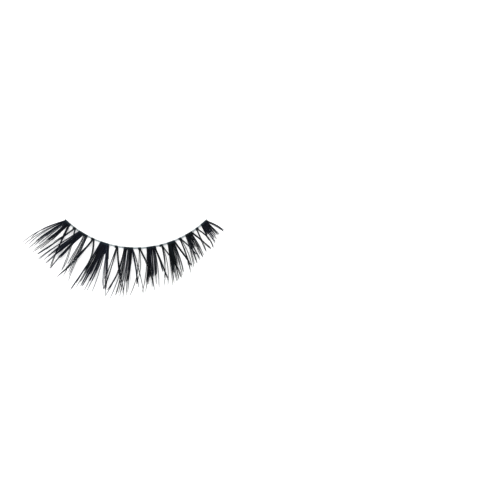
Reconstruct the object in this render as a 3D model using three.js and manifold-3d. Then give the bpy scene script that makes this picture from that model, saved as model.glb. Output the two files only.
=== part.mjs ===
import * as THREE from 'three';
import { mergeVertices } from 'three/addons/utils/BufferGeometryUtils.js';
import Module from 'manifold-3d';

// A false eyelash strip for one eye, lying on its underside. Millimetres, +Z up.
// A thin clear band bends round a point behind it, on +Y. Tufts of hair are knotted on it
// from the outer corner of the eye, on -X, to the inner corner, on +X. Long tufts lie in
// the lash bed, small crossed tufts stand over it, and all fan to -Y and curl up.

// Band: a clear nylon line.
const bandLength = 33.0; // along its middle, corner to corner
const bandRadius = 21.6; // bend of its middle, seen from above
const bandWidth = 0.3; // seen from above
const bandThickness = 0.22;
const bandBevel = 0.05;
const bandFacets = 31; // odd, so that the middle facet faces straight back

// Knots: hair wound round the band, with a bore that clears it.
const windingThickness = 0.11;
const windingClearance = 0.04;
const knotBevel = 0.1;
const knotFacets = 2;

// Lashes, measured from the middle of the band.
const lashReach = 11.8; // to the longest tip, seen from above
const curlHeight = 4.6; // rise of the longest tip over the lash bed's flat part
const flatShare = 0.32; // of a lash's reach, before it curls up
const rootClearance = 0.05; // from a knot to its hair
const rootLength = 0.7; // of the bundle that a tuft's locks leave
const lockThickness = 0.3; // at the root
const tipThickness = 0.1;
const tipWidth = 0.12;
const widthTaper = 2.6; // how late a lock narrows: 1 is even, more is later
const lockSteps = 7;

// Layers: the crossed locks pass over the lash bed.
const layerClearance = 0.12;
const crossSeat = 0.2; // how high a crossed tuft leaves its knot
const climbReach = 0.9; // distance over which a lock climbs one layer

// The lash line: how far the tips reach at each place along the band.
// at is a share of bandLength, reach a share of lashReach.
const lashLine = [
  { at: -0.1, reach: 0.8 },
  { at: 0.1, reach: 0.86 },
  { at: 0.24, reach: 0.98 },
  { at: 0.4, reach: 0.9 },
  { at: 0.56, reach: 0.78 },
  { at: 0.72, reach: 0.66 },
  { at: 0.86, reach: 0.5 },
  { at: 1.04, reach: 0.35 },
];

// A cross-section of a lock, seen along it, as shares of its width and its thickness.
const lockSection = [
  { across: -0.35, up: 0 },
  { across: 0.35, up: 0 },
  { across: 0.5, up: 0.45 },
  { across: 0.28, up: 1 },
  { across: -0.28, up: 1 },
  { across: -0.5, up: 0.45 },
];

// Tufts from the outer corner to the inner. from and to bound a tuft's knot on the band.
// A lock leaves the band at at with its width, and its tip lies abreast of tip, bowed
// sideways by bow at mid-length: all shares of bandLength. reach is a share of lashReach,
// and over is the number of layers that it climbs above the lash bed.
const lockColumns = ['at', 'width', 'tip', 'reach', 'bow', 'over'];
const tufts = [
  { name: 'lash_tuft_01', from: 0.004, to: 0.052, locks: [
    [0.011, 0.014, -0.064, 0.80, -0.022, 0],
    [0.019, 0.022, -0.036, 0.80, -0.014, 0],
    [0.029, 0.024, -0.008, 0.80, -0.006, 0],
    [0.037, 0.020, 0.032, 0.66, 0.000, 0],
    [0.046, 0.009, 0.102, 0.83, -0.001, 2],
  ] },
  { name: 'cross_tuft_02', from: 0.072, to: 0.094, locks: [
    [0.082, 0.010, 0.020, 0.79, -0.004, 1],
    [0.089, 0.010, 0.150, 0.77, 0.013, 1],
  ] },
  { name: 'lash_tuft_03', from: 0.116, to: 0.182, locks: [
    [0.128, 0.022, 0.042, 0.84, -0.012, 0],
    [0.139, 0.030, 0.072, 0.76, -0.010, 0],
    [0.153, 0.022, 0.100, 0.82, -0.008, 0],
    [0.171, 0.018, 0.170, 0.82, 0.002, 0],
    [0.177, 0.010, 0.195, 0.87, 0.002, 0],
  ] },
  { name: 'cross_tuft_04', from: 0.206, to: 0.231, locks: [
    [0.218, 0.012, 0.150, 0.88, 0.001, 1],
    [0.224, 0.009, 0.242, 0.62, 0.019, 1],
  ] },
  { name: 'lash_tuft_05', from: 0.269, to: 0.327, locks: [
    [0.276, 0.014, 0.221, 0.98, -0.002, 0],
    [0.288, 0.030, 0.260, 0.85, 0.002, 0],
    [0.300, 0.026, 0.286, 0.90, 0.003, 0],
    [0.308, 0.010, 0.308, 0.89, 0.005, 0],
    [0.319, 0.014, 0.362, 0.78, 0.006, 0],
  ] },
  { name: 'cross_tuft_06', from: 0.365, to: 0.386, locks: [
    [0.379, 0.009, 0.355, 0.80, 0.001, 1],
    [0.382, 0.009, 0.443, 0.80, 0.000, 1],
  ] },
  { name: 'lash_tuft_07', from: 0.423, to: 0.482, locks: [
    [0.429, 0.011, 0.372, 0.87, 0.004, 0],
    [0.436, 0.012, 0.397, 0.90, 0.008, 0],
    [0.447, 0.028, 0.428, 0.84, 0.003, 0],
    [0.463, 0.026, 0.454, 0.80, 0.003, 0],
    [0.475, 0.010, 0.508, 0.63, 0.008, 2],
    [0.478, 0.008, 0.535, 0.79, 0.010, 2],
  ] },
  { name: 'cross_tuft_08', from: 0.513, to: 0.533, locks: [
    [0.520, 0.008, 0.475, 0.83, 0.012, 1],
    [0.525, 0.009, 0.582, 0.64, 0.012, 1],
  ] },
  { name: 'lash_tuft_09', from: 0.566, to: 0.627, locks: [
    [0.574, 0.013, 0.535, 0.79, 0.004, 0],
    [0.587, 0.024, 0.563, 0.75, 0.001, 0],
    [0.601, 0.024, 0.586, 0.76, 0.000, 0],
    [0.611, 0.012, 0.605, 0.72, 0.004, 0],
    [0.620, 0.009, 0.656, 0.64, 0.003, 0],
  ] },
  { name: 'cross_tuft_10', from: 0.650, to: 0.673, locks: [
    [0.664, 0.009, 0.632, 0.72, 0.007, 1],
    [0.666, 0.009, 0.719, 0.65, 0.012, 1],
  ] },
  { name: 'lash_tuft_11', from: 0.701, to: 0.753, locks: [
    [0.710, 0.018, 0.672, 0.73, 0.000, 0],
    [0.722, 0.028, 0.697, 0.70, 0.002, 0],
    [0.735, 0.024, 0.716, 0.64, 0.001, 0],
    [0.742, 0.012, 0.732, 0.59, 0.004, 0],
    [0.748, 0.009, 0.783, 0.55, 0.004, 0],
  ] },
  { name: 'cross_tuft_12', from: 0.778, to: 0.798, locks: [
    [0.787, 0.009, 0.766, 0.65, 0.005, 1],
    [0.791, 0.009, 0.830, 0.40, 0.006, 1],
  ] },
  { name: 'lash_tuft_13', from: 0.827, to: 0.877, locks: [
    [0.834, 0.014, 0.794, 0.59, 0.001, 0],
    [0.845, 0.024, 0.813, 0.55, -0.002, 0],
    [0.857, 0.022, 0.834, 0.52, 0.000, 0],
    [0.866, 0.014, 0.855, 0.50, 0.003, 0],
    [0.872, 0.009, 0.911, 0.46, 0.004, 0],
  ] },
  { name: 'cross_tuft_14', from: 0.904, to: 0.922, locks: [
    [0.909, 0.009, 0.883, 0.45, -0.001, 1],
    [0.913, 0.009, 0.924, 0.46, 0.014, 1],
  ] },
  { name: 'lash_tuft_15', from: 0.947, to: 0.996, locks: [
    [0.956, 0.018, 0.930, 0.43, -0.002, 0],
    [0.969, 0.022, 0.950, 0.42, 0.001, 0],
    [0.980, 0.014, 0.972, 0.39, 0.002, 0],
    [0.987, 0.010, 0.991, 0.38, 0.002, 0],
    [0.991, 0.008, 1.022, 0.36, 0.004, 0],
  ] },
];

// Sizes that follow from the ones above.
const bandTurn = bandLength / bandRadius;
const knotWall = windingThickness + windingClearance;
const knotWidth = bandWidth + 2 * knotWall;
const knotThickness = bandThickness + 2 * knotWall;
const rootReach = knotWidth / 2 + rootClearance;
const layerHeight = lockThickness + layerClearance;

const wasm = await Module();
wasm.setup();

// A point of the strip: share along the band, distance out from its middle, and height.
function stripPoint(share, out, up) {
  const turn = (share - 0.5) * bandTurn;
  return new THREE.Vector3(
    (bandRadius + out) * Math.sin(turn),
    -(bandRadius + out) * Math.cos(turn),
    up,
  );
}

// Reach of the lash line at a share of the band, as a share of lashReach.
function lineReach(share) {
  const starts = lashLine.slice(0, -1);
  const row = Math.max(0, starts.findLastIndex((start) => share >= start.at));
  const [start, end] = [lashLine[row], lashLine[row + 1]];
  return THREE.MathUtils.mapLinear(share, start.at, end.at, start.reach, end.reach);
}

// Height of the lash bed: flat near the band, then curling up towards the lash line.
function bedHeight(share, out) {
  const line = lineReach(share);
  const beyond = out / (lashReach * line) - flatShare;
  return beyond <= 0 ? 0 : curlHeight * line * (beyond / (1 - flatShare)) ** 2;
}

// A closed geometry through rings that hold the same number of points.
function loft(rings) {
  const count = rings[0].length;
  const indices = [];
  for (let ring = 0; ring + 1 < rings.length; ring += 1) {
    for (let point = 0; point < count; point += 1) {
      const next = (point + 1) % count;
      const [a, b] = [ring * count + point, ring * count + next];
      indices.push(a, b, b + count, a, b + count, a + count);
    }
  }
  const end = (rings.length - 1) * count;
  for (let point = 1; point + 1 < count; point += 1) {
    indices.push(0, point + 1, point, end, end + point, end + point + 1);
  }
  const geometry = new THREE.BufferGeometry().setFromPoints(rings.flat());
  geometry.setIndex(indices);
  return geometry;
}

function toSolid(geometry) {
  const bare = mergeVertices(geometry);
  const mesh = new wasm.Mesh({
    numProp: 3,
    vertProperties: new Float32Array(bare.attributes.position.array),
    triVerts: new Uint32Array(bare.index.array),
  });
  return new wasm.Manifold(mesh);
}

function toGeometry(solid) {
  const mesh = solid.getMesh();
  const geometry = new THREE.BufferGeometry();
  geometry.setAttribute('position', new THREE.BufferAttribute(mesh.vertProperties, 3));
  geometry.setIndex(new THREE.BufferAttribute(mesh.triVerts, 1));
  geometry.computeVertexNormals();
  return geometry;
}

// A bevelled bar that follows the band's bend at a height, from one share to another.
function bentBar(from, to, facets, width, thickness, bevel, middle) {
  const [half, tall] = [width / 2, thickness / 2];
  const corners = [
    [half - bevel, -tall], [bevel - half, -tall], [-half, bevel - tall], [-half, tall - bevel],
    [bevel - half, tall], [half - bevel, tall], [half, tall - bevel], [half, bevel - tall],
  ];
  const rings = [];
  for (let facet = 0; facet <= facets; facet += 1) {
    const share = THREE.MathUtils.lerp(from, to, facet / facets);
    rings.push(corners.map(([out, up]) => stripPoint(share, out, middle + up)));
  }
  return loft(rings);
}

// One cross-section of hair, standing across the strip.
function hairRing(share, out, up, width, thickness) {
  return lockSection.map((corner) =>
    stripPoint(share + corner.across * width, out, up + corner.up * thickness));
}

function bandGeometry() {
  const middle = knotThickness / 2;
  return bentBar(0, 1, bandFacets, bandWidth, bandThickness, bandBevel, middle);
}

// A knot: a sleeve of wound hair that the band runs through.
function knotGeometry(tuft) {
  const middle = knotThickness / 2;
  const runPast = (tuft.to - tuft.from) / knotFacets;
  const sleeve = bentBar(
    tuft.from, tuft.to, knotFacets, knotWidth, knotThickness, knotBevel, middle);
  const bore = bentBar(
    tuft.from - runPast, tuft.to + runPast, knotFacets + 2,
    bandWidth + 2 * windingClearance, bandThickness + 2 * windingClearance, bandBevel, middle);
  return toGeometry(toSolid(sleeve).subtract(toSolid(bore)));
}

// The short bundle under a knot that the tuft's locks leave.
function rootSolid(tuft, seat) {
  const share = (tuft.from + tuft.to) / 2;
  const width = tuft.to - tuft.from;
  const rings = [0, rootLength].map((along) =>
    hairRing(share, rootReach + along, seat, width, lockThickness));
  return toSolid(loft(rings));
}

// Height of a lock over the lash bed: its seat under the knot, then its own layer.
function liftOver(lock, seat, out) {
  if (lock.over === 0) return seat;
  const climbed = THREE.MathUtils.smoothstep(out - rootReach, 0, lock.over * climbReach);
  return THREE.MathUtils.lerp(seat, lock.over * layerHeight, climbed);
}

// A lock: a flat lick of hair that tapers to its tip.
function lockSolid(lock, seat) {
  const rings = [];
  for (let step = 0; step <= lockSteps; step += 1) {
    const along = step / lockSteps;
    const out = THREE.MathUtils.lerp(rootReach, lock.reach * lashReach, along);
    const share = THREE.MathUtils.lerp(lock.at, lock.tip, along)
      + 4 * lock.bow * along * (1 - along);
    const height = bedHeight(share, out) + liftOver(lock, seat, out);
    const width = THREE.MathUtils.lerp(lock.width, tipWidth / bandLength, along ** widthTaper);
    const thickness = THREE.MathUtils.lerp(lockThickness, tipThickness, along ** widthTaper);
    rings.push(hairRing(share, out, height, width, thickness));
  }
  return toSolid(loft(rings));
}

// All of a tuft's hair as one solid of its outer form.
function tuftGeometry(tuft) {
  const seat = tuft.name.startsWith('cross') ? crossSeat : 0;
  const locks = tuft.locks.map((row) =>
    Object.fromEntries(lockColumns.map((column, index) => [column, row[index]])));
  const solid = locks.reduce(
    (sum, lock) => sum.add(lockSolid(lock, seat)), rootSolid(tuft, seat));
  return toGeometry(solid);
}

const nylon = { color: 0xb9c4c8, roughness: 0.3, metalness: 0 };
const woundHair = { color: 0x0e1418, roughness: 0.5, metalness: 0 };
const looseHair = { color: 0x12161c, roughness: 0.42, metalness: 0 };

function addPiece(group, name, geometry, finish) {
  const mesh = new THREE.Mesh(geometry, new THREE.MeshStandardMaterial(finish));
  mesh.name = name;
  group.add(mesh);
}

const strip = new THREE.Group();
addPiece(strip, 'lash_band', bandGeometry(), nylon);
for (const tuft of tufts) {
  const number = tuft.name.slice(-2);
  addPiece(strip, `knot_${number}`, knotGeometry(tuft), woundHair);
  addPiece(strip, tuft.name, tuftGeometry(tuft), looseHair);
}

// The strip's origin is under the middle of its box, on the surface that it lies on.
const box = new THREE.Box3().setFromObject(strip);
const centre = box.getCenter(new THREE.Vector3());
strip.position.set(-centre.x, -centre.y, -box.min.z);

export default strip;
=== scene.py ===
# False eyelash strip lying on a pale surface, seen from straight above.
import math
import random

import bpy
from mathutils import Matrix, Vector


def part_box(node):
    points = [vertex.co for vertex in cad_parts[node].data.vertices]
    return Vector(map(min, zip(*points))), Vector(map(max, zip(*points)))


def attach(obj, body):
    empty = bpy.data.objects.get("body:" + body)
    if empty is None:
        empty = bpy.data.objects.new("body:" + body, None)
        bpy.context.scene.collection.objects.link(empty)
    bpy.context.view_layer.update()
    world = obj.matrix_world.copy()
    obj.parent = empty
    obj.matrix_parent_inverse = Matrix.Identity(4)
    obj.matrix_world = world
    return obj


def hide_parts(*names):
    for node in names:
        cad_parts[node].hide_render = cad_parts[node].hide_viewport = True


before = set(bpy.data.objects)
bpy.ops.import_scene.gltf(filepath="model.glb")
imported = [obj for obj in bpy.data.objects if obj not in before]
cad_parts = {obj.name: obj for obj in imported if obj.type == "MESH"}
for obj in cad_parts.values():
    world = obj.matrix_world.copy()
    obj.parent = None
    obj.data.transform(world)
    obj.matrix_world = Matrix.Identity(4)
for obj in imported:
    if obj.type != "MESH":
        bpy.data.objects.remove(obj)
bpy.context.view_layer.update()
mm = 0.001  # everything below is in millimetres until it becomes a point


def say(text):
    print("lash strip:", text)


def hexToLinear(code):  # sRGB hex to the linear colour that the shaders take
    parts = [int(code[i:i + 2], 16) / 255 for i in (1, 3, 5)]
    return [c / 12.92 if c <= 0.04045 else ((c + 0.055) / 1.055) ** 2.4 for c in parts] + [1.0]


# The line that everything is laid along. Places on it are shares of its length:
# 0 is the outer corner of the eye, 1 the inner one.
band = {
    "length": 33.0,
    "bend": 21.6,  # radius of its middle
    "width": 0.30,  # seen from above
    "thickness": 0.22,
    "height": 0.26,  # of its middle over the floor
    "cutEnd": 0.8,  # share of its width that the rounded cut ends keep
    "steps": 160,
    "sides": 16,
}
bandLow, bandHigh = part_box("lash_band")
bendX = (bandLow[0] + bandHigh[0]) / 2 / mm
bendY = bandLow[1] / mm + band["bend"] + band["width"] / 2


def onStrip(share, out, up):  # out is measured from the band's middle, up from the floor
    turn = (share - 0.5) * band["length"] / band["bend"]
    reach = band["bend"] + out
    return Vector((bendX + reach * math.sin(turn), bendY - reach * math.cos(turn), up)) * mm


# How far the tips reach at each place, and how they curl up from the lash bed.
lashLine = {
    "reach": 11.8,  # of the longest tip, seen from above
    "curl": 4.6,  # rise of the longest tip
    "flat": 0.32,  # share of a lash that lies flat
    "line": [(-0.1, 0.80), (0.1, 0.86), (0.24, 0.98), (0.4, 0.90),
             (0.56, 0.78), (0.72, 0.66), (0.86, 0.50), (1.04, 0.35)],  # place, share of reach
}


def lineReach(share):
    rows = lashLine["line"]
    row = max([i for i in range(len(rows) - 1) if share >= rows[i][0]], default=0)
    (a, reachA), (b, reachB) = rows[row], rows[row + 1]
    return reachA + (reachB - reachA) * (share - a) / (b - a)


def bedHeight(share, out):
    line = lineReach(share)
    beyond = out / (lashLine["reach"] * line) - lashLine["flat"]
    return 0 if beyond <= 0 else lashLine["curl"] * line * (beyond / (1 - lashLine["flat"])) ** 2


def smooth(value):
    value = min(max(value, 0), 1)
    return value * value * (3 - 2 * value)


def mix(a, b, share):
    return a + (b - a) * share


# Mesh making: every strand of the strip is a tube along a list of points
class Tubes:
    def __init__(self, sides):
        self.sides = sides
        self.points = []
        self.faces = []
        self.tones = []  # at each point: the fibre's shade, its tuft's cast, and two fillers

    def add(self, path, radii, tone, squash=1.0):
        sides, start = self.sides, len(self.points)
        last = len(path) - 1
        for i, point in enumerate(path):
            ahead = (path[min(i + 1, last)] - path[max(i - 1, 0)]).normalized()
            side = ahead.cross(Vector((0, 0, 1)))
            side = side.normalized() if side.length > 1e-4 else Vector((1, 0, 0))
            over = side.cross(ahead)
            for k in range(sides):
                turn = 2 * math.pi * k / sides
                self.points.append(point + radii[i] * mm * (
                    math.cos(turn) * side + math.sin(turn) * squash * over))
                self.tones.append((*tone, 0, 1))
        for i in range(last):
            a = start + i * sides
            for k in range(sides):
                n = (k + 1) % sides
                self.faces.append((a + k, a + n, a + sides + n, a + sides + k))
        self.faces.append([start + k for k in reversed(range(sides))])
        self.faces.append([start + last * sides + k for k in range(sides)])

    def make(self, name, material):
        mesh = bpy.data.meshes.new(name)
        mesh.from_pydata(self.points, [], self.faces)
        tones = mesh.color_attributes.new("fibre", "FLOAT_COLOR", "POINT")
        tones.data.foreach_set("color", [c for tone in self.tones for c in tone])
        mesh.shade_smooth()
        mesh.materials.append(material)
        piece = bpy.data.objects.new(name, mesh)
        bpy.context.scene.collection.objects.link(piece)
        return piece


def putOn(piece, node):
    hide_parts(node)
    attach(piece, "root")


# Materials
def newMaterial(name):
    material = bpy.data.materials.new(name)
    material.use_nodes = True
    tree = material.node_tree
    return material, tree, tree.nodes["Principled BSDF"]


def addNode(tree, kind, settings={}, links={}):
    # settings are attributes or input values, links are input name to another node's output
    node = tree.nodes.new(kind)
    for key, value in settings.items():
        if isinstance(key, int) or key in node.inputs:
            node.inputs[key].default_value = value
        else:
            setattr(node, key, value)
    for key, output in links.items():
        tree.links.new(output, node.inputs[key])
    return node


def fibreShade(tree, look):
    # black dye that took unevenly: a shade for each fibre, between two dye lots
    fibreData = addNode(tree, "ShaderNodeVertexColor", {"layer_name": "fibre"})
    parts = addNode(tree, "ShaderNodeSeparateColor", {}, {"Color": fibreData.outputs["Color"]})
    cast = addNode(tree, "ShaderNodeMix", {
        "data_type": "RGBA", 6: hexToLinear(look["greenish"]), 7: hexToLinear(look["navy"]),
    }, {"Factor": parts.outputs["Green"]})
    return addNode(tree, "ShaderNodeMix", {"data_type": "RGBA", 6: hexToLinear(look["deep"])},
                   {"Factor": parts.outputs["Red"], 7: cast.outputs[2]})


lashFibre = {
    "deep": "#121115",  # the blackest fibres, dyed through
    "greenish": "#2c3539",  # the palest fibres of the two dye lots
    "navy": "#363b49",
    "roughness": (0.36, 0.52),  # of its glossiest and dullest patches
    "patch": 0.3,  # across, mm
    "groove": 0.01,  # depth, mm
    "ior": 1.45,
    "gloss": 0.12,
}


def blackLashFibre():
    # PBT lash fibre, drawn, dyed black and heat curled: near black with a satin streak of
    # light along each fibre, and a slightly different black from fibre to fibre.
    material, tree, shader = newMaterial("black_pbt_lash_fibre")
    tree.links.new(fibreShade(tree, lashFibre).outputs[2], shader.inputs["Base Color"])
    # The die leaves lines about 0.01 mm apart, too fine to show, so they are drawn as
    # coarser patches, duller and glossier
    where = addNode(tree, "ShaderNodeTexCoord")
    patches = addNode(tree, "ShaderNodeTexNoise", {
        "Scale": 1 / (lashFibre["patch"] * mm), "Detail": 2.0,
    }, {"Vector": where.outputs["Object"]})
    rough = addNode(tree, "ShaderNodeMapRange", {
        "From Min": 0.3, "From Max": 0.7,
        "To Min": lashFibre["roughness"][0], "To Max": lashFibre["roughness"][1],
    }, {"Value": patches.outputs["Fac"]})
    tree.links.new(rough.outputs["Result"], shader.inputs["Roughness"])
    grooves = addNode(tree, "ShaderNodeBump", {
        "Strength": 0.3, "Distance": lashFibre["groove"] * mm,
    }, {"Height": patches.outputs["Fac"]})
    tree.links.new(grooves.outputs["Normal"], shader.inputs["Normal"])
    shader.inputs["IOR"].default_value = lashFibre["ior"]
    shader.inputs["Specular IOR Level"].default_value = lashFibre["gloss"]
    return material


woundFibre = {
    "deep": "#14181b",  # the same dye, a little greyer under the glue
    "greenish": "#303e45",
    "navy": "#35424d",
    "roughness": (0.22, 0.49),  # under the glue and between its spots
    "spot": 0.3,  # across, mm: the glue gathers in beads of this size
    "spotHeight": 0.03,  # mm
    "ior": 1.48,
    "gloss": 0.25,
    "glue": 0.15,  # how much of a clear coat the set glue leaves
    "glueRoughness": 0.15,
}


def gluedLashFibre():
    # The same fibre wound round the line and set with a little clear glue: a slightly
    # greyer black, with small wet-looking glints between the windings.
    material, tree, shader = newMaterial("wound_lash_fibre_set_with_glue")
    tree.links.new(fibreShade(tree, woundFibre).outputs[2], shader.inputs["Base Color"])
    where = addNode(tree, "ShaderNodeTexCoord")
    spots = addNode(tree, "ShaderNodeTexNoise", {
        "Scale": 1 / (woundFibre["spot"] * mm), "Detail": 3.0,
    }, {"Vector": where.outputs["Object"]})
    rough = addNode(tree, "ShaderNodeMapRange", {
        "From Min": 0.35, "From Max": 0.65,
        "To Min": woundFibre["roughness"][0], "To Max": woundFibre["roughness"][1],
    }, {"Value": spots.outputs["Fac"]})
    tree.links.new(rough.outputs["Result"], shader.inputs["Roughness"])
    beads = addNode(tree, "ShaderNodeBump", {
        "Strength": 0.6, "Distance": woundFibre["spotHeight"] * mm,
    }, {"Height": spots.outputs["Fac"]})
    tree.links.new(beads.outputs["Normal"], shader.inputs["Normal"])
    shader.inputs["IOR"].default_value = woundFibre["ior"]
    shader.inputs["Specular IOR Level"].default_value = woundFibre["gloss"]
    shader.inputs["Coat Weight"].default_value = woundFibre["glue"]
    shader.inputs["Coat Roughness"].default_value = woundFibre["glueRoughness"]
    return material


nylonLine = {
    "tint": "#929a9c",  # faint teal grey
    "haze": "#a3aaac",  # where the line is scuffed
    "roughness": (0.22, 0.42),  # clear and scuffed
    "scuff": 0.8,  # length, mm
    "scuffDepth": 0.02,  # mm
    "ior": 1.53,
    "clear": 0.10,  # share of light let through
}


def clearNylonLine():
    # Nylon monofilament, extruded and drawn: milky clear with a faint teal-grey tint,
    # glossy, with slight haze where it was pulled through the winding machine.
    material, tree, shader = newMaterial("clear_nylon_monofilament")
    where = addNode(tree, "ShaderNodeTexCoord")
    haze = addNode(tree, "ShaderNodeTexNoise", {
        "Scale": 1 / (nylonLine["scuff"] * mm), "Detail": 3.0,
    }, {"Vector": where.outputs["Object"]})
    ramp = addNode(tree, "ShaderNodeValToRGB", {}, {"Fac": haze.outputs["Fac"]})
    ramp.color_ramp.elements[0].position = 0.35
    ramp.color_ramp.elements[1].position = 0.7
    ramp.color_ramp.elements[0].color = hexToLinear(nylonLine["tint"])
    ramp.color_ramp.elements[1].color = hexToLinear(nylonLine["haze"])
    tree.links.new(ramp.outputs["Color"], shader.inputs["Base Color"])
    rough = addNode(tree, "ShaderNodeMapRange", {
        "From Min": 0.35, "From Max": 0.7,
        "To Min": nylonLine["roughness"][0], "To Max": nylonLine["roughness"][1],
    }, {"Value": haze.outputs["Fac"]})
    tree.links.new(rough.outputs["Result"], shader.inputs["Roughness"])
    scuffs = addNode(tree, "ShaderNodeBump", {
        "Strength": 0.3, "Distance": nylonLine["scuffDepth"] * mm,
    }, {"Height": haze.outputs["Fac"]})
    tree.links.new(scuffs.outputs["Normal"], shader.inputs["Normal"])
    shader.inputs["IOR"].default_value = nylonLine["ior"]
    shader.inputs["Transmission Weight"].default_value = nylonLine["clear"]
    return material


board = {
    "white": "#f7f7f7",
    "roughness": 0.9,
    "gloss": 0.1,
    "reach": 1.0,  # metres each way from the middle
}


def paintedBoard():
    # The surface under the strip: smooth board painted a matte white, so no highlight lies on it
    material, _, shader = newMaterial("matte_white_board")
    shader.inputs["Base Color"].default_value = hexToLinear(board["white"])
    shader.inputs["Roughness"].default_value = board["roughness"]
    shader.inputs["Specular IOR Level"].default_value = board["gloss"]
    return material


# The band: a smooth line of flattened round section
def makeBand(material):
    tubes = Tubes(band["sides"])
    path = [onStrip(i / band["steps"], 0, band["height"]) for i in range(band["steps"] + 1)]
    half = band["width"] / 2
    radii = [half] * len(path)
    radii[0] = radii[-1] = half * band["cutEnd"]
    tubes.add(path, radii, (0.5, 0.5), band["thickness"] / band["width"])
    putOn(tubes.make("nylon_band", material), "lash_band")


# Knots: fibre wound round the band and the roots in tight turns, sunk a little into the band
# on the lid side and bulging over the roots, with a few turns slantwise across the others.
knot = {
    "fibre": 0.075,  # thickness of one winding
    "pitch": 0.070,  # from one turn to the next, so that neighbours touch
    "pointsPerTurn": 16,
    "sides": 6,
    "wander": 0.012,  # how far a turn strays
    "loose": 0.15,  # share of the turns that stand proud
    "proud": 0.025,  # by this much
    "bite": 0.080,  # how far it sinks into the soft line on the lid side
    "bulge": 0.17,  # how much further it reaches on the side of the roots
    "smallBulge": 0.09,  # the same on a small tuft
    "rise": 0.25,  # share that it is taller there
    "slants": 5,  # turns that lie across the others
    "smallSlants": 2,
    "slantRun": 0.014,  # the most that one runs along, as a share of the band's length
    "slantLift": 0.7,  # how far it stands out, in fibre thicknesses
}


def isSmall(tuft):
    return tuft["node"].startswith("cross")


def windingPoint(place, angle, proud, bulge):
    halfWide = band["width"] / 2 + knot["fibre"] / 2 + proud
    halfTall = band["thickness"] / 2 + knot["fibre"] / 2 + proud
    rootSide = max(math.cos(angle), 0)
    out = halfWide * math.cos(angle) + bulge * rootSide
    out += (knot["bite"] + proud) * max(-math.cos(angle), 0)
    up = halfTall * math.sin(angle) * (1 + knot["rise"] * rootSide)
    return onStrip(place, out, band["height"] + up)


def makeKnot(number, tuft, material, rng):
    tubes = Tubes(knot["sides"])
    margin = knot["fibre"] / 2 / band["length"]
    start, end = tuft["from"] + margin, tuft["to"] - margin
    turns = round((end - start) * band["length"] / knot["pitch"])
    small = isSmall(tuft)
    bulge = knot["smallBulge" if small else "bulge"]
    count = knot["pointsPerTurn"]
    radius = knot["fibre"] / 2
    proud = [rng.uniform(-1, 1) * knot["wander"] + knot["proud"] * (rng.random() < knot["loose"])
             for turn in range(turns + 2)]
    path = []
    for i in range(turns * count + 1):
        turn = i / count
        stand = mix(proud[int(turn)], proud[int(turn) + 1], turn % 1)
        path.append(windingPoint(mix(start, end, turn / turns), 2 * math.pi * turn, stand, bulge))
    tubes.add(path, [radius] * len(path), (rng.random(), tuft["cast"]))
    lift = knot["slantLift"] * knot["fibre"]
    for slant in range(knot["smallSlants" if small else "slants"]):
        a = rng.uniform(start, end)
        b = min(max(a + rng.uniform(-knot["slantRun"], knot["slantRun"]), start), end)
        path = [windingPoint(mix(a, b, i / count), 2 * math.pi * i / count + math.pi, lift, bulge)
                for i in range(count + 1)]
        tubes.add(path, [radius] * len(path), (rng.random(), tuft["cast"]))
    putOn(tubes.make(f"wound_knot_{number:02d}", material), f"knot_{number:02d}")


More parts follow.
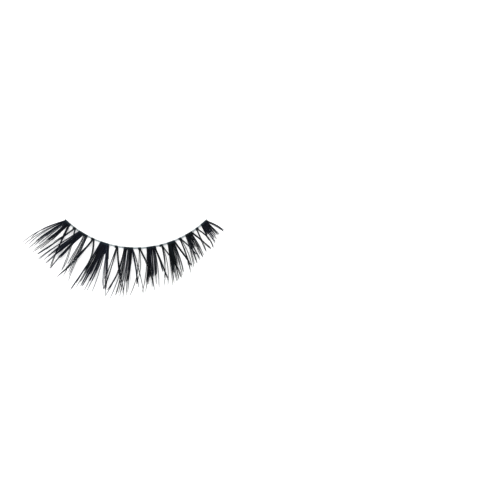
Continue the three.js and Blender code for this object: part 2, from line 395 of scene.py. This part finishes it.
# Tufts from the outer corner to the inner one. A lock leaves the band at a place with a
# width, and its fibres point to tip, spread that far apart: all shares of the band's length.
# reach is a share of lashLine's reach, bow a sideways bow at mid-length, and over says how
# many layers it climbs above the lash bed. cast is the tuft's dye lot: 0 greenish, 1 navy.
lockColumns = ["at", "width", "tip", "spread", "reach", "bow", "fibres", "over"]
tufts = [
    {"node": "lash_tuft_01", "from": 0.004, "to": 0.052, "cast": 0.6, "locks": [
        (0.003, 0.003, -0.064, 0.003, 0.82, -0.019, 1, 0),
        (0.004, 0.003, -0.056, 0.003, 0.66, -0.018, 1, 0),
        (0.006, 0.003, -0.049, 0.003, 0.81, -0.017, 1, 0),
        (0.008, 0.003, -0.040, 0.003, 0.76, -0.015, 1, 0),
        (0.010, 0.003, -0.026, 0.003, 0.82, -0.010, 1, 0),
        (0.011, 0.006, -0.022, 0.010, 0.64, -0.009, 2, 0),
        (0.012, 0.003, -0.018, 0.003, 0.71, -0.006, 1, 0),
        (0.015, 0.003, -0.010, 0.003, 0.45, -0.003, 1, 0),
        (0.017, 0.003, -0.009, 0.003, 0.63, -0.001, 1, 0),
        (0.019, 0.003, -0.003, 0.003, 0.40, 0.000, 1, 0),
        (0.021, 0.006, -0.003, 0.004, 0.76, 0.004, 2, 0),
        (0.022, 0.008, 0.006, 0.007, 0.49, 0.003, 2, 0),
        (0.027, 0.006, 0.014, 0.006, 0.46, 0.002, 2, 0),
        (0.024, 0.003, -0.004, 0.003, 0.83, 0.007, 1, 0),
        (0.032, 0.003, 0.012, 0.003, 0.69, 0.003, 1, 0),
        (0.036, 0.003, 0.026, 0.003, 0.42, 0.000, 1, 0),
        (0.039, 0.003, 0.032, 0.003, 0.24, 0.000, 1, 0),
        (0.045, 0.008, 0.103, 0.005, 0.83, 0.000, 3, 2),
        (0.043, 0.012, 0.064, 0.008, 0.32, 0.000, 4, 0),
    ]},
    {"node": "cross_tuft_02", "from": 0.072, "to": 0.094, "cast": 0.2, "locks": [
        (0.083, 0.009, 0.020, 0.004, 0.79, -0.004, 3, 1),
        (0.086, 0.003, 0.034, 0.003, 0.62, -0.003, 1, 1),
        (0.084, 0.006, 0.040, 0.004, 0.44, -0.004, 1, 1),
        (0.089, 0.007, 0.151, 0.003, 0.77, 0.013, 2, 1),
    ]},
    {"node": "lash_tuft_03", "from": 0.116, "to": 0.182, "cast": 0.7, "locks": [
        (0.119, 0.007, 0.039, 0.003, 0.84, -0.013, 2, 0),
        (0.120, 0.004, 0.048, 0.003, 0.68, -0.012, 1, 0),
        (0.122, 0.004, 0.057, 0.003, 0.78, -0.011, 1, 0),
        (0.124, 0.006, 0.064, 0.006, 0.70, -0.009, 2, 0),
        (0.128, 0.007, 0.073, 0.008, 0.82, -0.006, 2, 0),
        (0.130, 0.022, 0.082, 0.018, 0.59, -0.005, 6, 0),
        (0.133, 0.022, 0.089, 0.016, 0.50, -0.004, 6, 0),
        (0.138, 0.013, 0.108, 0.015, 0.60, -0.002, 4, 0),
        (0.150, 0.006, 0.102, 0.003, 0.84, -0.011, 2, 0),
        (0.148, 0.006, 0.112, 0.004, 0.56, -0.010, 2, 0),
        (0.157, 0.003, 0.158, 0.003, 0.60, 0.002, 1, 0),
        (0.162, 0.003, 0.168, 0.003, 0.82, 0.001, 1, 0),
        (0.168, 0.003, 0.173, 0.003, 0.67, 0.001, 1, 0),
        (0.172, 0.003, 0.180, 0.003, 0.72, 0.000, 1, 0),
        (0.176, 0.003, 0.188, 0.003, 0.77, 0.000, 1, 0),
        (0.179, 0.003, 0.200, 0.003, 0.86, -0.002, 1, 0),
    ]},
    {"node": "cross_tuft_04", "from": 0.206, "to": 0.231, "cast": 0.2, "locks": [
        (0.218, 0.009, 0.149, 0.003, 0.89, 0.001, 3, 1),
        (0.219, 0.010, 0.163, 0.008, 0.68, 0.001, 2, 1),
        (0.219, 0.006, 0.171, 0.006, 0.50, 0.001, 2, 1),
        (0.225, 0.008, 0.242, 0.009, 0.60, 0.017, 3, 1),
    ]},
    {"node": "lash_tuft_05", "from": 0.269, "to": 0.327, "cast": 1.0, "locks": [
        (0.272, 0.006, 0.224, 0.003, 1.00, -0.002, 3, 0),
        (0.275, 0.007, 0.232, 0.005, 0.84, -0.004, 2, 0),
        (0.278, 0.003, 0.239, 0.003, 0.90, -0.003, 1, 0),
        (0.281, 0.007, 0.247, 0.006, 0.79, -0.004, 2, 0),
        (0.284, 0.003, 0.254, 0.003, 0.86, -0.002, 1, 0),
        (0.288, 0.014, 0.262, 0.006, 0.85, -0.002, 4, 0),
        (0.291, 0.023, 0.268, 0.021, 0.62, 0.000, 9, 0),
        (0.294, 0.024, 0.273, 0.018, 0.42, 0.001, 8, 0),
        (0.299, 0.011, 0.285, 0.008, 0.73, 0.003, 4, 0),
        (0.300, 0.003, 0.278, 0.003, 0.90, 0.004, 1, 0),
        (0.303, 0.004, 0.288, 0.003, 0.89, 0.004, 1, 0),
        (0.306, 0.007, 0.295, 0.005, 0.72, 0.006, 2, 0),
        (0.309, 0.003, 0.309, 0.003, 0.89, 0.007, 1, 0),
        (0.311, 0.012, 0.317, 0.008, 0.19, 0.000, 3, 0),
        (0.315, 0.004, 0.345, 0.003, 0.74, 0.002, 1, 0),
        (0.319, 0.004, 0.352, 0.004, 0.80, 0.001, 1, 0),
        (0.322, 0.010, 0.363, 0.007, 0.80, 0.004, 4, 0),
        (0.321, 0.003, 0.371, 0.003, 0.91, 0.003, 1, 0),
        (0.322, 0.012, 0.339, 0.010, 0.26, 0.001, 4, 0),
    ]},
    {"node": "cross_tuft_06", "from": 0.365, "to": 0.386, "cast": 0.2, "locks": [
        (0.376, 0.004, 0.346, 0.003, 0.62, 0.000, 1, 1),
        (0.380, 0.007, 0.356, 0.004, 0.80, 0.001, 2, 1),
        (0.377, 0.004, 0.354, 0.003, 0.52, 0.000, 1, 1),
        (0.383, 0.009, 0.444, 0.006, 0.80, -0.001, 3, 1),
        (0.383, 0.004, 0.420, 0.004, 0.52, 0.001, 1, 1),
        (0.382, 0.004, 0.410, 0.004, 0.40, 0.002, 1, 1),
    ]},
    {"node": "lash_tuft_07", "from": 0.423, "to": 0.482, "cast": 0.8, "locks": [
        (0.425, 0.003, 0.369, 0.003, 0.90, 0.009, 1, 0),
        (0.427, 0.006, 0.376, 0.005, 0.79, 0.010, 2, 0),
        (0.432, 0.003, 0.391, 0.003, 0.93, 0.007, 1, 0),
        (0.434, 0.006, 0.413, 0.008, 0.87, 0.004, 2, 0),
        (0.438, 0.003, 0.423, 0.003, 0.82, 0.002, 1, 0),
        (0.441, 0.003, 0.432, 0.003, 0.87, 0.000, 1, 0),
        (0.450, 0.003, 0.439, 0.003, 0.60, 0.001, 1, 0),
        (0.457, 0.008, 0.446, 0.008, 0.61, 0.001, 2, 0),
        (0.464, 0.006, 0.453, 0.004, 0.62, 0.002, 2, 0),
        (0.471, 0.009, 0.459, 0.006, 0.60, 0.004, 3, 0),
        (0.452, 0.003, 0.445, 0.003, 0.89, 0.000, 1, 0),
        (0.462, 0.003, 0.457, 0.003, 0.85, 0.000, 1, 0),
        (0.466, 0.003, 0.463, 0.003, 0.79, 0.000, 1, 0),
        (0.475, 0.009, 0.507, 0.006, 0.64, 0.007, 3, 2),
        (0.476, 0.003, 0.515, 0.003, 0.70, 0.006, 1, 2),
        (0.478, 0.003, 0.504, 0.003, 0.48, 0.014, 1, 1),
        (0.479, 0.003, 0.535, 0.003, 0.80, 0.011, 1, 2),
    ]},
    {"node": "cross_tuft_08", "from": 0.513, "to": 0.533, "cast": 0.2, "locks": [
        (0.520, 0.003, 0.475, 0.003, 0.84, 0.012, 1, 1),
        (0.520, 0.003, 0.506, 0.003, 0.58, 0.012, 1, 1),
        (0.524, 0.009, 0.581, 0.006, 0.62, 0.012, 3, 1),
    ]},
    {"node": "lash_tuft_09", "from": 0.566, "to": 0.627, "cast": 0.7, "locks": [
        (0.570, 0.003, 0.526, 0.003, 0.80, 0.006, 1, 0),
        (0.572, 0.003, 0.542, 0.003, 0.78, 0.007, 1, 0),
        (0.572, 0.008, 0.551, 0.004, 0.62, 0.004, 3, 0),
        (0.575, 0.006, 0.558, 0.008, 0.66, 0.002, 3, 0),
        (0.583, 0.010, 0.571, 0.007, 0.54, 0.002, 3, 0),
        (0.590, 0.003, 0.586, 0.003, 0.77, -0.004, 1, 0),
        (0.591, 0.003, 0.580, 0.003, 0.70, -0.002, 1, 0),
        (0.595, 0.008, 0.585, 0.006, 0.54, 0.003, 3, 0),
        (0.602, 0.003, 0.575, 0.003, 0.72, -0.001, 1, 0),
        (0.605, 0.006, 0.595, 0.005, 0.52, 0.003, 2, 0),
        (0.608, 0.003, 0.598, 0.003, 0.67, 0.000, 1, 0),
        (0.613, 0.008, 0.604, 0.004, 0.50, 0.003, 3, 0),
        (0.615, 0.003, 0.606, 0.003, 0.75, 0.006, 1, 0),
        (0.619, 0.009, 0.656, 0.005, 0.64, 0.003, 3, 0),
        (0.617, 0.004, 0.639, 0.005, 0.47, 0.004, 2, 0),
    ]},
    {"node": "cross_tuft_10", "from": 0.650, "to": 0.673, "cast": 0.0, "locks": [
        (0.664, 0.003, 0.630, 0.003, 0.73, 0.007, 1, 1),
        (0.665, 0.003, 0.641, 0.003, 0.58, 0.006, 1, 1),
        (0.668, 0.003, 0.647, 0.003, 0.72, 0.012, 1, 1),
        (0.667, 0.003, 0.648, 0.003, 0.45, 0.006, 1, 1),
        (0.665, 0.007, 0.719, 0.004, 0.66, 0.012, 2, 1),
    ]},
    {"node": "lash_tuft_11", "from": 0.701, "to": 0.753, "cast": 0.0, "locks": [
        (0.706, 0.003, 0.668, 0.003, 0.74, -0.002, 1, 0),
        (0.709, 0.006, 0.679, 0.006, 0.71, -0.002, 2, 0),
        (0.712, 0.012, 0.687, 0.012, 0.56, 0.000, 4, 0),
        (0.716, 0.006, 0.692, 0.006, 0.69, -0.001, 2, 0),
        (0.722, 0.006, 0.704, 0.006, 0.69, 0.000, 2, 0),
        (0.722, 0.032, 0.706, 0.028, 0.44, 0.002, 8, 0),
        (0.722, 0.028, 0.708, 0.022, 0.33, 0.000, 5, 0),
        (0.722, 0.006, 0.716, 0.004, 0.64, -0.006, 2, 0),
        (0.738, 0.003, 0.725, 0.003, 0.62, 0.000, 1, 0),
        (0.740, 0.003, 0.728, 0.003, 0.52, 0.003, 1, 0),
        (0.743, 0.006, 0.734, 0.003, 0.58, 0.004, 2, 0),
        (0.748, 0.009, 0.782, 0.006, 0.54, 0.004, 3, 0),
    ]},
    {"node": "cross_tuft_12", "from": 0.778, "to": 0.798, "cast": 0.1, "locks": [
        (0.787, 0.008, 0.766, 0.004, 0.64, 0.005, 2, 1),
        (0.788, 0.003, 0.770, 0.003, 0.50, 0.006, 1, 1),
        (0.791, 0.003, 0.784, 0.003, 0.57, 0.008, 1, 1),
        (0.791, 0.008, 0.831, 0.004, 0.39, 0.006, 2, 1),
    ]},
    {"node": "lash_tuft_13", "from": 0.827, "to": 0.877, "cast": 0.5, "locks": [
        (0.829, 0.003, 0.791, 0.003, 0.57, 0.002, 1, 0),
        (0.833, 0.003, 0.800, 0.003, 0.52, 0.002, 1, 0),
        (0.838, 0.006, 0.814, 0.005, 0.54, -0.001, 2, 0),
        (0.836, 0.008, 0.821, 0.006, 0.40, 0.000, 2, 0),
        (0.846, 0.010, 0.834, 0.006, 0.50, -0.003, 2, 0),
        (0.846, 0.026, 0.835, 0.022, 0.27, 0.000, 5, 0),
        (0.852, 0.038, 0.842, 0.032, 0.15, 0.000, 7, 0),
        (0.857, 0.003, 0.847, 0.003, 0.42, 0.001, 1, 0),
        (0.862, 0.004, 0.853, 0.006, 0.49, 0.002, 2, 0),
        (0.867, 0.004, 0.862, 0.006, 0.47, 0.003, 2, 0),
        (0.872, 0.009, 0.911, 0.004, 0.45, 0.004, 3, 0),
    ]},
    {"node": "cross_tuft_14", "from": 0.904, "to": 0.922, "cast": 0.3, "locks": [
        (0.909, 0.007, 0.883, 0.004, 0.44, -0.001, 2, 1),
        (0.913, 0.007, 0.924, 0.004, 0.46, 0.014, 2, 1),
    ]},
    {"node": "lash_tuft_15", "from": 0.947, "to": 0.996, "cast": 0.9, "locks": [
        (0.948, 0.006, 0.932, 0.005, 0.31, -0.003, 2, 0),
        (0.955, 0.006, 0.948, 0.005, 0.41, 0.000, 2, 0),
        (0.966, 0.040, 0.956, 0.038, 0.21, 0.000, 9, 0),
        (0.969, 0.046, 0.963, 0.044, 0.17, 0.000, 10, 0),
        (0.964, 0.006, 0.957, 0.006, 0.33, 0.000, 2, 0),
        (0.970, 0.003, 0.965, 0.003, 0.37, 0.001, 1, 0),
        (0.976, 0.006, 0.974, 0.006, 0.31, 0.002, 2, 0),
        (0.983, 0.003, 0.982, 0.003, 0.33, 0.001, 1, 0),
        (0.988, 0.006, 0.991, 0.006, 0.34, 0.000, 2, 0),
        (0.991, 0.009, 1.023, 0.014, 0.36, 0.005, 3, 0),
    ]},
]

fibre = {
    "thickness": 0.12,  # at the root
    "tip": 0.055,  # at the tip
    "taperFrom": 0.88,  # share of the length where the taper starts
    "taperPower": 1.5,  # 1 is even, more is later
    "steps": 18,
    "sides": 6,
    "ragged": 0.05,  # share of its lock's reach that a fibre may fall short
    "uneven": 0.15,  # how far a fibre lies off its even place among its neighbours
    "wave": 0.05,  # how far a fibre strays sideways, growing to its tip
    "waveTurn": 5,  # radians of that wave along a fibre
    "rootInset": 0.001,  # share of the band's length that roots keep from a knot's ends
    "rootOut": 0.16,  # roots start inside the windings
    "rootTier": 0.30,  # how high the roots are stacked
    "rootRun": 0.7,  # distance over which fibres settle from the knot to the lash bed
    "depth": 0.34,  # of the hair just off the knot
    "tipDepth": 0.12,
    "layer": 0.42,  # from the lash bed to the hair that crosses over it
    "climb": 0.9,  # distance over which a lock climbs one layer
    "climbFrom": 0.35,
    "crossSeat": 0.20,  # how high a small tuft leaves its knot
}


def fibrePath(lock, seat, rootAt, tipAt, reach, tier, wave):
    path = []
    rootOut = fibre["rootOut"]
    for i in range(fibre["steps"] + 1):
        along = i / fibre["steps"]
        out = mix(rootOut, reach * lashLine["reach"], along)
        share = mix(rootAt, tipAt, along) + 4 * lock["bow"] * along * (1 - along)
        sway = math.sin(wave + fibre["waveTurn"] * along)
        share += fibre["wave"] * along * sway / band["length"]
        lift = seat
        if lock["over"]:
            climbed = smooth((out - fibre["climbFrom"]) / (lock["over"] * fibre["climb"]))
            lift = mix(seat, lock["over"] * fibre["layer"], climbed)
        spare = mix(fibre["depth"], fibre["tipDepth"], along) - fibreThickness(along)
        up = bedHeight(share, out) + lift + fibreThickness(along) / 2 + tier * max(spare, 0)
        atKnot = band["height"] + (tier - 0.5) * fibre["rootTier"]
        up = mix(atKnot, up, smooth((out - rootOut) / fibre["rootRun"]))
        path.append(onStrip(share, out, up))
    return path


def fibreThickness(along):
    tapered = max(0, (along - fibre["taperFrom"]) / (1 - fibre["taperFrom"]))
    return mix(fibre["thickness"], fibre["tip"], tapered ** fibre["taperPower"])


def makeTuft(tuft, material, rng):
    seat = fibre["crossSeat"] if isSmall(tuft) else 0.0
    uneven, inset = fibre["uneven"], fibre["rootInset"]
    tubes, count = Tubes(fibre["sides"]), 0
    radii = [fibreThickness(i / fibre["steps"]) / 2 for i in range(fibre["steps"] + 1)]
    for row in tuft["locks"]:
        lock = dict(zip(lockColumns, row))
        for k in range(lock["fibres"]):
            place = (k + 0.5 + rng.uniform(-uneven, uneven)) / lock["fibres"] - 0.5
            rootAt = lock["at"] + lock["width"] * place
            rootAt = min(max(rootAt, tuft["from"] + inset), tuft["to"] - inset)
            tipPlace = place + rng.uniform(-uneven, uneven) / lock["fibres"]
            tipAt = lock["tip"] + lock["spread"] * tipPlace
            reach = lock["reach"] * (1 - rng.uniform(0, fibre["ragged"]) * (k > 0))
            tier, tone, wave = rng.random(), rng.random(), rng.uniform(0, 2 * math.pi)
            tubes.add(fibrePath(lock, seat, rootAt, tipAt, reach, tier, wave), radii,
                      (tone, tuft["cast"]))
            count += 1
    putOn(tubes.make(tuft["node"] + "_hair", material), tuft["node"])
    return count


# Camera: straight down, framed as a square whose middle lies to the right of the strip
view = {
    "width": 105.0,  # of the floor that the square frame takes in
    "rightOfBend": 23.94,  # the frame's middle from the centre of the band's bend
    "belowBend": 22.0,
    "distance": 1400.0,
    "sensor": 36.0,
    "clip": (0.01, 10.0),  # metres
}


def makeCamera():
    data = bpy.data.cameras.new("camera")
    data.sensor_width = view["sensor"]
    data.lens = view["sensor"] * view["distance"] / view["width"]
    data.clip_start, data.clip_end = view["clip"]
    camera = bpy.data.objects.new("camera", data)
    camera.location = Vector((bendX + view["rightOfBend"], bendY - view["belowBend"],
                              view["distance"])) * mm
    bpy.context.scene.collection.objects.link(camera)
    bpy.context.scene.camera = camera


# Light: an even white surround and one large soft box overhead
light = {
    "surround": 1.2,  # strength
    "box": 1.0,  # side, metres
    "boxPower": 3.0,  # watts
    "boxPlace": (-0.25, 0.30, 0.65),  # metres from the origin
    "contrast": 0.72,  # below 1 prints the greys darker and leaves white white
}


def makeLight():
    world = bpy.data.worlds.new("studio")
    world.use_nodes = True
    surround = world.node_tree.nodes["Background"]
    surround.inputs["Color"].default_value = hexToLinear("#ffffff")
    surround.inputs["Strength"].default_value = light["surround"]
    bpy.context.scene.world = world
    data = bpy.data.lights.new("soft_box", "AREA")
    data.size, data.energy = light["box"], light["boxPower"]
    lamp = bpy.data.objects.new("soft_box", data)
    lamp.location = light["boxPlace"]
    lamp.rotation_euler = Vector(light["boxPlace"]).to_track_quat("Z", "Y").to_euler()
    bpy.context.scene.collection.objects.link(lamp)
    bpy.context.scene.view_settings.view_transform = "Standard"
    bpy.context.scene.view_settings.gamma = light["contrast"]


def makeFloor(material):
    size = board["reach"]
    mesh = bpy.data.meshes.new("floor")
    mesh.from_pydata([(-size, -size, 0), (size, -size, 0), (size, size, 0), (-size, size, 0)],
                     [], [(0, 1, 2, 3)])
    mesh.materials.append(material)
    floor = bpy.data.objects.new("floor", mesh)
    bpy.context.scene.collection.objects.link(floor)


makeCamera()
makeLight()
makeFloor(paintedBoard())
say("camera, light and floor are in place")

makeBand(clearNylonLine())
say("band is made")

knotMaterial, hairMaterial = gluedLashFibre(), blackLashFibre()
fibres = 0
for number, tuft in enumerate(tufts, 1):
    makeKnot(number, tuft, knotMaterial, random.Random(100 + number))
    fibres += makeTuft(tuft, hairMaterial, random.Random(number))
say(f"{len(tufts)} knots and tufts are made, with {fibres} fibres")

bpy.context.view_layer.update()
say("sizes are written")
